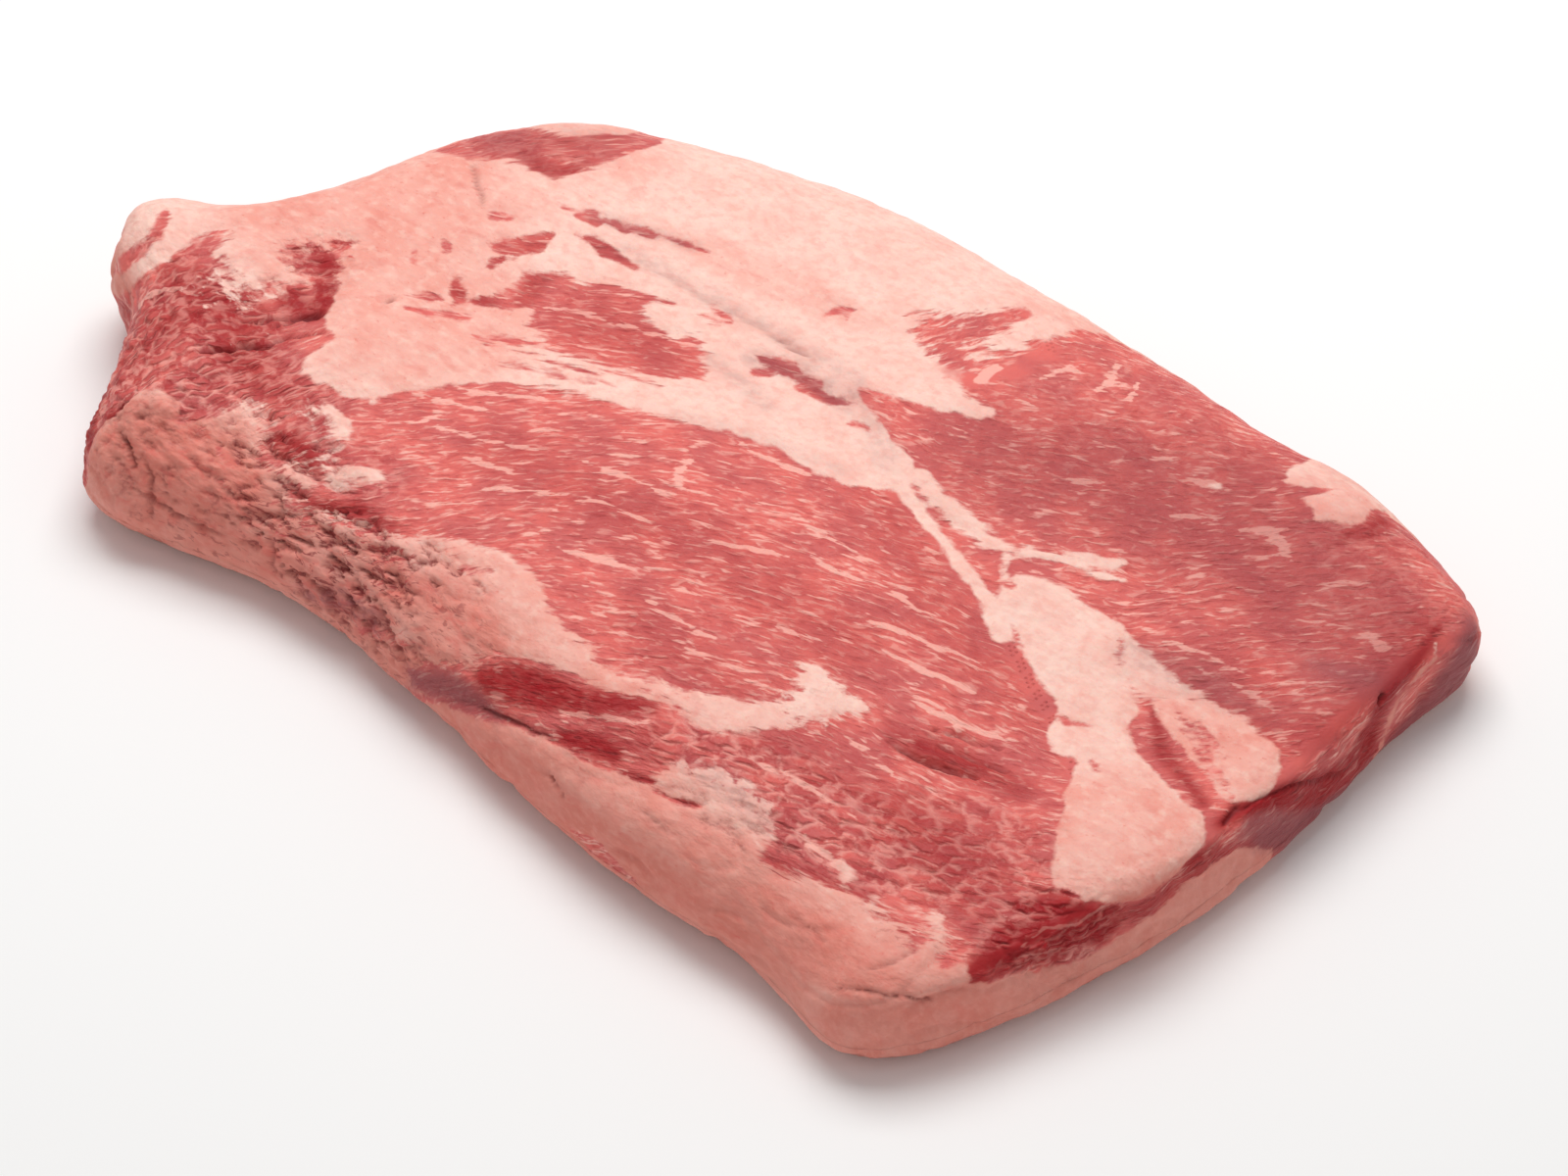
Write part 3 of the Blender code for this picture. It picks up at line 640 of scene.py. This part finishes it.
def noise_of(places, size, seed=0.0):
    """Smooth noise from -1 to 1 at each place, with lumps of about the given size."""
    rows = np.column_stack([places[:, k] / size[k] for k in range(places.shape[1])])
    rows = np.column_stack([rows, np.full(len(rows), seed)]) if rows.shape[1] == 2 else rows + seed
    return np.array([noise.noise(Vector(row)) for row in rows])


def fibre_places(at, fibres):
    """How far each point lies along the fibres and across them, for fibres that bend with x."""
    xs = np.arange(-320, 321, 2.0)
    slope = np.interp(xs, *np.array(fibres, float).T)
    rise = np.concatenate([[0], np.cumsum((slope[1:] + slope[:-1]) / 2 * np.diff(xs))])
    here = np.interp(at[:, 0], xs, slope)
    across = (at[:, 1] - np.interp(at[:, 0], xs, rise)) / np.hypot(1, here)
    return np.stack([at[:, 0] + here * at[:, 1] * 0.5, across], -1)


def breaks_in(places, mesh):
    """1 where the places jump between neighbouring points of the mesh, and less just beside it."""
    ends = np.empty(len(mesh.edges) * 2, np.int32)
    mesh.edges.foreach_get("vertices", ends)
    ends = ends.reshape(-1, 2)
    jumps = np.linalg.norm(places[ends[:, 0]] - places[ends[:, 1]], axis=1) > BREAK
    result = np.zeros(len(places))
    result[ends[jumps].ravel()] = 1.0
    for share in BREAK_FADES:
        beside = result.copy()
        for near, far in ((0, 1), (1, 0)):
            np.maximum.at(beside, ends[:, near], share * result[ends[:, far]])
        result = beside
    return result


wavering = np.column_stack([noise_of(plan, (6, 6), 1.0), noise_of(plan, (6, 6), 8.0)])
ragged = plan + RAGGEDNESS * wavering
fat = np.max([area_field(outline, ragged) for outline in FAT_AREAS.values()], 0)
lean = [area_field(outline, ragged) for outline in LEAN_AREAS.values()]
lean += [stroke_field(stroke, ragged) for stroke in LEAN_STROKES]
fat = np.minimum(fat, -np.max(lean, 0))
fat = np.maximum(fat, np.max([stroke_field(stroke, ragged) for stroke in FAT_STROKES], 0))
fat = fat + (UNDERSIDE_FAT - fat) * underside

dark = washes(DARK_LEAN_AND_SHADE, plan) * (1 - underside)
grey = washes(GREY_SKIN_AND_SHADE, plan) * (1 - underside)
crevice = washes(CREVICES, ragged) * (1 - underside)
marbling = washes([(1.0, 0.9, stroke) for stroke in MARBLING_STROKES], ragged)
shredded = ovals(SHREDDED, plan) * (1 - underside)
streaked = ovals(STREAKED_BORDERS, plan)
veined = ovals(VEIN_NET, plan)
# the trimmed patches join the walls, whose darker fat tone is partly painted shade
wall = np.maximum(wall, ovals(TRIMMED_AND_SHADED, plan)) * (1 - 0.4 * underside)
rosy = ovals(ROSY_FAT_AND_SHADE, plan)
pebbled = ovals(PEBBLED, plan) * (1 - underside)
gapped = ovals(GAPPED, plan) * (1 - underside)

back = is_inside(np.array(BACK_MUSCLE), plan)
uneven = 0.25 * noise_of(plan, (9, 9), 15.0)
from_fringe = np.hypot(*((plan - np.array(FRINGE_MIDDLE)) / np.array(FRINGE_REACH)).T)
fringe = back & (from_fringe + uneven < 1)
end_wall = ((plan[:, 0] < LEFT_WALL) | (plan[:, 0] > RIGHT_WALL)) & (inward < WALL_BEGINS)
run_of_pattern = np.select([end_wall, fringe, back], [3, 2, 1], 0)
runs = [fibre_places(plan, fibres) for fibres in (FRONT_FIBRES, BACK_FIBRES, FRINGE_FIBRES)]
runs.append(np.column_stack([along_wall, 1.2 * points[:, 2]]))
grain = np.choose(run_of_pattern[:, None], runs)
grain[:, 1] += 1.3 * noise_of(plan, (17, 10), 4.0) + 0.5 * noise_of(plan, (6, 4), 6.0)
grain = np.column_stack([grain, RUN_GAP * run_of_pattern])
join = breaks_in(grain, skin)


# --------------------------------------
# The relief of the skin. Fat stands proud of the lean, fibres make fine ridges along the
# grain, and the trimmed walls are lumpy and folded. Nothing leaves the CAD solids' box.

FAT_PROUD = 0.7
FIBRE_RIDGE = 0.4
TOP_LUMPS, WALL_LUMPS = 0.9, 1.9
WALL_FOLDS = 0.8
FAT_PEBBLES = 0.3
NODULE_DEPTH, NODULE_SIZE = 1.3, 8.0
GAP_DEPTH, CLUMP_SIZE, CLUMP_BEND, GAP_WIDTH = 2.0, 9.0, 2.5, (0.5, 0.2)
PEBBLE_DEPTH, PEBBLE_SIZE = 0.7, 12.0
CREVICE_DEPTH = 2.6
SKIN_INSET = 1.0


def nodules(places, size, weight):
    """Rounded knobs parted by creases, 0 in a crease and up to 1 on a knob."""
    result = np.ones(len(places))
    for i in np.flatnonzero(weight > 0.02):
        near = noise.voronoi(Vector((places[i, 0] / size, places[i, 1] / (0.7 * size), 3.0)))[0]
        result[i] = min(1.0, 2.2 * (near[1] - near[0]))
    return result


swaying = np.column_stack([noise_of(plan, (7, 7), 21.0), noise_of(plan, (7, 7), 27.0)])
bent = plan + CLUMP_BEND * swaying
gap = smoothstep(*GAP_WIDTH, nodules(bent, CLUMP_SIZE, gapped))
gap = gap * smoothstep(-0.12, 0.12, noise_of(plan, (8, 6), 31.0)) * np.minimum(1, 1.5 * gapped)

fatness = smoothstep(-3, 4, fat + 1.5 * noise_of(points, (7, 7, 7), 5.0))
lumps = 0.65 * noise_of(points, (26, 26, 22)) + 0.35 * noise_of(points, (11, 11, 9), 9.0)
relief = FAT_PROUD * fatness * (1 - 0.5 * wall)
relief += (TOP_LUMPS + (WALL_LUMPS - TOP_LUMPS) * wall) * lumps
relief -= WALL_FOLDS * wall * smoothstep(0.16, 0.0, np.abs(noise_of(points, (24, 24, 12), 12.0)))
relief += FIBRE_RIDGE * (1 - fatness) * noise_of(grain, (24, 3.4, 7)) * (1 - underside) * (1 - join)
relief += FAT_PEBBLES * fatness * noise_of(points, (4.5, 4.5, 4.5), 2.0)
relief -= NODULE_DEPTH * veined * (1 - nodules(plan, NODULE_SIZE, veined)) * (1 - 0.5 * fatness)
relief -= PEBBLE_DEPTH * pebbled * wall * (1 - nodules(ragged, PEBBLE_SIZE, pebbled * wall))
relief -= CREVICE_DEPTH * crevice + GAP_DEPTH * gap
for height, middle, reach in SWELLINGS:
    relief += height * np.exp(-np.sum(((plan - np.array(middle)) / np.array(reach)) ** 2, 1))
relief *= 1 - 0.8 * underside
low, high = (np.array(corner) / MM for corner in cad_box)
points += normals * (relief - SKIN_INSET * (1 - underside))[:, None]
points = np.clip(points, low, high)
skin.vertices.foreach_set("co", (points * MM).astype(np.float32).ravel())

# What the finish reads at every point of the skin.
skin_values = {
    "fat": fat, "dark": dark, "grey": grey, "crevice": crevice, "streaked": streaked, "veined": veined,
    "marbling": marbling, "shredded": shredded, "rosy": rosy, "wall": wall, "pebbled": pebbled, "gap": gap,
    "plan": np.column_stack([plan, UNDERSIDE_GAP * underside]), "grain": grain, "join": join,
}
for name, values in skin_values.items():
    kind, key = ("FLOAT", "value") if values.ndim == 1 else ("FLOAT_VECTOR", "vector")
    attribute = skin.attributes.new(name, kind, "POINT")
    attribute.data.foreach_set(key, values.astype(np.float32).ravel())


# --------------------------------------
# The meat's surface. Raw lean is moist, rosy red, with fat drawn through it along the
# fibres. The fat is pale pink and pebbly, rosier and darker down the trimmed walls, partly painted shade.


def srgb(red, green, blue):
    """A colour given as it looks on a screen, from 0 to 255, in the linear values a shader takes."""
    shares = [channel / 255 for channel in (red, green, blue)]
    return (*[c / 12.92 if c < 0.04045 else ((c + 0.055) / 1.055) ** 2.4 for c in shares], 1.0)


class Wire:
    """A shader socket. A sum with it adds a Math node, and Wire.node adds any other node."""

    def __init__(self, socket):
        self.socket = socket

    @classmethod
    def node(cls, tree, kind, settings=None, inputs=None, output=0):
        made = tree.nodes.new(kind)
        for name, value in (settings or {}).items():
            setattr(made, name, value)
        for key, value in (inputs or {}).items():
            if isinstance(value, cls):
                tree.links.new(value.socket, made.inputs[key])
            else:
                made.inputs[key].default_value = value
        return cls(made.outputs[output]) if made.outputs else None

    def sum_of(self, operation, first, second):
        tree = self.socket.id_data
        return Wire.node(tree, "ShaderNodeMath", {"operation": operation}, {0: first, 1: second})

    def __add__(self, other):
        return self.sum_of("ADD", self, other)

    __radd__ = __add__

    def __sub__(self, other):
        return self.sum_of("SUBTRACT", self, other)

    def __rsub__(self, other):
        return self.sum_of("SUBTRACT", other, self)

    def __mul__(self, other):
        return self.sum_of("MULTIPLY", self, other)

    __rmul__ = __mul__


LEAN_BRIGHT, LEAN_MID, LEAN_DEEP = srgb(232, 114, 106), srgb(210, 102, 99), srgb(160, 22, 30)
# a dark red for the painted shade between the fibres, also used for darker bundles
LEAN_TONE_AND_TROUGH_SHADE = srgb(176, 58, 64)
MARBLING = srgb(252, 182, 168)
FAT_PALE, FAT_ROSY, FAT_WALL_AND_SHADE = srgb(251, 207, 193), srgb(240, 162, 147), srgb(220, 123, 108)
FAT_BLUSH_AND_SHADE, FAT_PAINTED_GLINT = srgb(222, 104, 94), srgb(254, 222, 206)
SILVERSKIN_AND_SHADE, BRUISE_AND_SHADE = srgb(152, 84, 88), srgb(136, 48, 50)
# the deepest red, for painted shade in crevices and for the darkest streaks of the dark lean
DEEP_RED_AND_CREVICE_SHADE = srgb(110, 22, 26)

# A bundle of coarse fibres and a knob of trimmed fat: lengths along, across and down. The
# fine relief rises this far, in metres.
BUNDLE_SIZE, KNOB_SIZE = (8.5, 3.8, 8.0), (8.0, 6.0, 7.0)
FINE_RELIEF = 0.0016


def meat_finish(name):
    """Raw meat: the same finish runs over both layers, because fat and lean show on each."""
    material = bpy.data.materials.new(name)
    material.use_nodes = True
    tree = material.node_tree
    tree.nodes.clear()

    def node(kind, settings=None, inputs=None, output=0):
        return Wire.node(tree, kind, settings, inputs, output)

    def kept(name, output="Fac"):
        return node("ShaderNodeAttribute", {"attribute_name": name}, output=output)

    def stretched(place, size):
        scale = tuple(1 / length for length in size)
        return node("ShaderNodeVectorMath", {"operation": "MULTIPLY"}, {0: place, 1: scale})

    def mottle(place, size, detail=3.0, roughness=0.55, warp=0.0):
        inputs = {"Vector": stretched(place, size), "Scale": 1.0, "Detail": detail, "Roughness": roughness,
                  "Distortion": warp}
        return node("ShaderNodeTexNoise", None, inputs)

    def streaks(size, detail=3.0, roughness=0.55, warp=0.3):
        """Noise drawn out along the fibres, weak in coarse lean and level where two runs meet."""
        wave = mottle(grain, size, detail, roughness, warp) - 0.5
        return wave * (1.0 - join) * (1.0 - veined * 0.5) + 0.5

    def pushed_about(place, size, reach):
        """Places moved by soft noise, so that a pattern laid on them has no straight borders."""
        inputs = {"Vector": stretched(plan, size), "Scale": 1.0, "Detail": 3.0}
        push = stretched(node("ShaderNodeTexNoise", None, inputs, output=1), reach)
        return node("ShaderNodeVectorMath", {"operation": "ADD"}, {0: place, 1: push})

    def cells(place, size, feature="DISTANCE_TO_EDGE", output=0):
        inputs = {"Vector": stretched(place, size), "Scale": 1.0, "Randomness": 1.0}
        return node("ShaderNodeTexVoronoi", {"feature": feature}, inputs, output)

    def step(value, low, high):
        settings = {"interpolation_type": "SMOOTHSTEP"}
        return node("ShaderNodeMapRange", settings, {"Value": value, "From Min": low, "From Max": high})

    def mixed(share, first, second):
        settings = {"data_type": "RGBA", "clamp_factor": True}
        return node("ShaderNodeMix", settings, {0: share, 6: first, 7: second}, output=2)

    plan, grain = kept("plan", "Vector"), kept("grain", "Vector")
    fat, dark, grey, crevice, wall = map(kept, ("fat", "dark", "grey", "crevice", "wall"))
    streaked, veined, marbling = map(kept, ("streaked", "veined", "marbling"))
    shredded, rosy, join, pebbled, gap = map(kept, ("shredded", "rosy", "join", "pebbled", "gap"))

    # the border between fat and lean, ragged everywhere, drawn out or crumbled in places
    wander = mottle(plan, (7, 7, 7), detail=5.0, roughness=0.6)
    threads = streaks((13, 2.6, 10))
    shreds = streaks((6, 2.6, 10), roughness=0.6)
    depth = fat * (1.0 - shredded * 0.88) + (wander - 0.5) * 5.0
    crumble = mottle(plan, (4.5, 3.0, 4.0), detail=3.0)
    shreds = shreds + (crumble - shreds) * veined
    depth = depth + (threads - 0.5) * (streaked * 16.0 + 2.0) + (shreds - 0.5) * (shredded * 18.0)
    fat_share = step(depth, -0.9 - streaked * 1.6 - shredded * 0.8, 0.9)

    # marbling: pale streaks along the fibres, and crumbs and veins where the lean is coarse
    long_streaks = streaks((10, 2.3, 10), detail=2.5, roughness=0.6, warp=0.3)
    short_streaks = streaks((5.5, 1.8, 10), detail=2.0, roughness=0.5, warp=0.5)
    crumbs = mottle(plan, (2.6, 2.0, 3.0), detail=3.0, roughness=0.6)
    patchy = mottle(plan, (24, 18, 24), detail=2.0)
    marbled = step(long_streaks + (patchy - 0.5) * 0.25 + marbling * 0.26, 0.57, 0.68)
    fine = step(short_streaks + (patchy - 0.5) * 0.15, 0.52, 0.68)
    bent = pushed_about(grain, (6, 6, 6), (0.35, 0.4, 0.4))
    bundles = cells(bent, BUNDLE_SIZE)
    broken = step(mottle(plan, (6, 6, 6)), 0.40, 0.56)
    veins = (1.0 - step(bundles, 0.0, 0.24)) * broken * 0.75
    net = (veins + step(crumbs, 0.58, 0.70) * 0.35) * (1.0 - join)
    cracks = (1.0 - step(bundles, 0.0, 0.20)) * (1.0 - broken) * (1.0 - join)
    bundle_tone = cells(bent, BUNDLE_SIZE, feature="F1", output=1)
    # painted shade: where the fibre streaks dip low in the relief, the lean is darkened
    fleck_shade = step(1.0 - short_streaks, 0.52, 0.70)
    trough_shade = step(1.0 - threads, 0.52, 0.70)

    # the lean: bright and dull patches, painted shade in the troughs between the fibres and in dark flecks,
    # then its marbling over it
    lean = mixed(step(patchy, 0.34, 0.64), LEAN_MID, LEAN_BRIGHT)
    lean = mixed(trough_shade * 0.28, lean, LEAN_TONE_AND_TROUGH_SHADE)
    lean = mixed(fleck_shade * 0.32, lean, LEAN_TONE_AND_TROUGH_SHADE)
    lean = mixed(step(bundle_tone, 0.35, 0.75) * veined * 0.45, lean, LEAN_TONE_AND_TROUGH_SHADE)
    lean = mixed(cracks * veined * 0.55, lean, LEAN_DEEP)
    lean = mixed(fine * (0.45 - 0.2 * veined), lean, MARBLING)
    # darker lean, partly painted shade down the end walls and under the rim
    lean = mixed(dark * (0.9 + 0.9 * (long_streaks - 0.5)), lean, LEAN_DEEP)
    lean = mixed(step(1.0 - long_streaks, 0.58, 0.66) * dark * 0.6, lean, DEEP_RED_AND_CREVICE_SHADE)
    lean = mixed(marbled * (0.9 - 0.65 * dark), lean, MARBLING)
    lean = mixed(net * veined * (0.75 - 0.5 * dark), lean, MARBLING)
    # silverskin, and painted shade on the near-left wall, greying the lean
    lean = mixed(grey * 0.8, lean, SILVERSKIN_AND_SHADE)

    # the fat: cloudy, with pink smudges and specks, and rosier and darker down the trimmed walls, partly
    # its own colour and partly painted shade
    cloud = mottle(plan, (18, 18, 18), detail=5.0)
    smudge = step(mottle(plan, (9, 5, 8), detail=3.0, warp=0.5), 0.50, 0.72)
    tone = mixed(step(cloud, 0.40, 0.68) * 0.35 + rosy * 0.75, FAT_PALE, FAT_ROSY)
    # painted shade, with the rosier colour of trimmed fat: walls facing sideways and the trimmed patches
    # are darker
    tone = mixed(wall * (0.8 + 0.5 * (cloud - 0.5)), tone, FAT_WALL_AND_SHADE)
    tone = mixed(step(mottle(plan, (4, 3, 4), detail=4.0), 0.44, 0.66) * 0.34, tone, FAT_ROSY)
    tone = mixed(smudge * (0.12 + 0.18 * rosy), tone, FAT_BLUSH_AND_SHADE)
    tone = mixed(step(crumbs, 0.60, 0.74) * (0.2 + 0.35 * rosy), tone, FAT_BLUSH_AND_SHADE)
    # painted highlights: whiter spots on the fat, away from the walls
    painted_glints = step(mottle(plan, (5.0, 4.0, 4.5), detail=4.0), 0.46, 0.72)
    tone = mixed(painted_glints * (1.0 - wall) * 0.35, tone, FAT_PAINTED_GLINT)
    # silverskin and painted shade greying the fat
    tone = mixed(grey * (0.35 + 0.5 * step(mottle(plan, (5, 4, 4)), 0.42, 0.62)), tone, SILVERSKIN_AND_SHADE)

    # knobs of trimmed fat with creases between them, darkened as painted shade, and dark marks where it is
    # shredded
    lumps = cells(pushed_about(plan, (5, 5, 5), (0.35, 0.35, 0.35)), KNOB_SIZE)
    creases = (1.0 - step(lumps, 0.0, 0.22)) * step(mottle(plan, (8, 8, 8)), 0.44, 0.62)
    marks = step(mottle(plan, (6.0, 3.0, 5.0), detail=3.5, roughness=0.65, warp=0.8), 0.55, 0.64)
    # painted shade: the creases between knobs are darkened
    tone = mixed(creases * pebbled * (0.25 + 0.3 * wall), tone, FAT_BLUSH_AND_SHADE)
    tone = mixed(marks * shredded * (0.2 + 0.7 * wall), tone, BRUISE_AND_SHADE)

    colour = mixed(fat_share, lean, tone)
    # the gaps between clumps of fat are darkened, partly dark meat and partly painted shade
    colour = mixed(gap * (0.15 + 0.7 * step(crumbs, 0.42, 0.60)), colour, BRUISE_AND_SHADE)
    # painted shade: folds, cracks and holes are darkened to a deep red
    colour = mixed(crevice * 0.9, colour, DEEP_RED_AND_CREVICE_SHADE)

    # fine relief: ridges of fibre on the lean, and a cloudy, knobbly skin on the fat
    height = (0.5 * threads + 0.55 * short_streaks + 0.5 * long_streaks + 0.2) * (1.0 - fat_share)
    height = height + step(bundles, 0.0, 0.4) * veined * 0.6 * (1.0 - 0.7 * fat_share) * (1.0 - join)
    height = height + (mottle(plan, (9, 7, 9), detail=3.0) * 0.6 + 0.75) * fat_share + crumbs * 0.15
    height = height + step(lumps, 0.0, 0.4) * pebbled * 0.2 * fat_share
    normal = node("ShaderNodeBump", None, {"Strength": 1.0, "Distance": FINE_RELIEF, "Height": height})
    gloss = 0.40 + 0.18 * mottle(plan, (6, 6, 6)) + 0.06 * fat_share
    surface = node("ShaderNodeBsdfPrincipled", None, {
        "Base Color": colour, "Roughness": gloss, "Normal": normal, "IOR": 1.4, "Specular IOR Level": 0.2,
        "Subsurface Weight": 0.12, "Subsurface Radius": (1.0, 0.35, 0.2), "Subsurface Scale": 0.004})
    node("ShaderNodeOutputMaterial", None, {"Surface": surface})
    return material


# --------------------------------------
# The two layers. The lean lies on the fat cap, which runs under all of it and shows at
# the sides, so the finished skin is cut level where they meet.


def layer(name, keeps_top):
    """One layer of the finished skin, closed where it was cut, standing for its CAD solid."""
    level = (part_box("fat_cap")[1].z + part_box("lean_meat")[0].z) / 2
    bm = bmesh.new()
    bm.from_mesh(skin)
    everything = bm.verts[:] + bm.edges[:] + bm.faces[:]
    cut = bmesh.ops.bisect_plane(
        bm, geom=everything, dist=1e-6, plane_co=(0, 0, level), plane_no=(0, 0, 1),
        clear_inner=keeps_top, clear_outer=not keeps_top)
    rim = [item for item in cut["geom_cut"] if isinstance(item, bmesh.types.BMEdge)]
    bmesh.ops.contextual_create(bm, geom=rim)
    bmesh.ops.recalc_face_normals(bm, faces=bm.faces)
    mesh = bpy.data.meshes.new(name)
    bm.to_mesh(mesh)
    bm.free()
    mesh.shade_smooth()
    mesh.materials.append(meat_finish(name))
    piece = in_scene(name, mesh)
    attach(piece, "root")
    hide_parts(name)
    return piece


layer("lean_meat", keeps_top=True)
layer("fat_cap", keeps_top=False)


# --------------------------------------
# The table and the light. A white table top, a broad soft light from above and behind,
# and even light all round, as in a light tent.

FLOOR_REACH = 4.0

floor_bm = bmesh.new()
bmesh.ops.create_grid(floor_bm, x_segments=1, y_segments=1, size=FLOOR_REACH)
floor_mesh = bpy.data.meshes.new("table_top")
floor_bm.to_mesh(floor_mesh)
floor_bm.free()
floor = in_scene("table_top", floor_mesh)

white = bpy.data.materials.new("white_table")
white.use_nodes = True
white_surface = white.node_tree.nodes["Principled BSDF"]
white_surface.inputs["Base Color"].default_value = srgb(250, 249, 248)
white_surface.inputs["Roughness"].default_value = 0.9
white_surface.inputs["Specular IOR Level"].default_value = 0.1
floor_mesh.materials.append(white)

world = bpy.data.worlds.new("light_tent")
bpy.context.scene.world = world
world.use_nodes = True
world.node_tree.nodes["Background"].inputs["Color"].default_value = (1, 1, 1, 1)
world.node_tree.nodes["Background"].inputs["Strength"].default_value = 0.42
bpy.context.scene.view_settings.view_transform = "Standard"


def aim(thing, target):
    thing.rotation_euler = (Vector(target) - thing.location).to_track_quat("-Z", "Y").to_euler()


def soft_light(name, place, size, power):
    light = bpy.data.lights.new(name, "AREA")
    light.shape = "RECTANGLE"
    light.size, light.size_y = size
    light.energy = power
    lamp = in_scene(name, light)
    lamp.location = place
    aim(lamp, (0, 0, 0))


soft_light("overhead", place=(-0.25, 0.45, 1.5), size=(1.2, 0.9), power=19)

AZIMUTH, ELEVATION, DISTANCE = math.radians(33), math.radians(45), 1.55
target = Vector((0.038, -0.008, 0.02))
level_share = math.cos(ELEVATION)
away = Vector((math.sin(AZIMUTH) * level_share, -math.cos(AZIMUTH) * level_share, math.sin(ELEVATION)))
camera_data = bpy.data.cameras.new("camera")
camera_data.lens = 110
camera_data.sensor_width = 36
camera = in_scene("camera", camera_data)
camera.location = target + DISTANCE * away
aim(camera, target)
bpy.context.scene.camera = camera
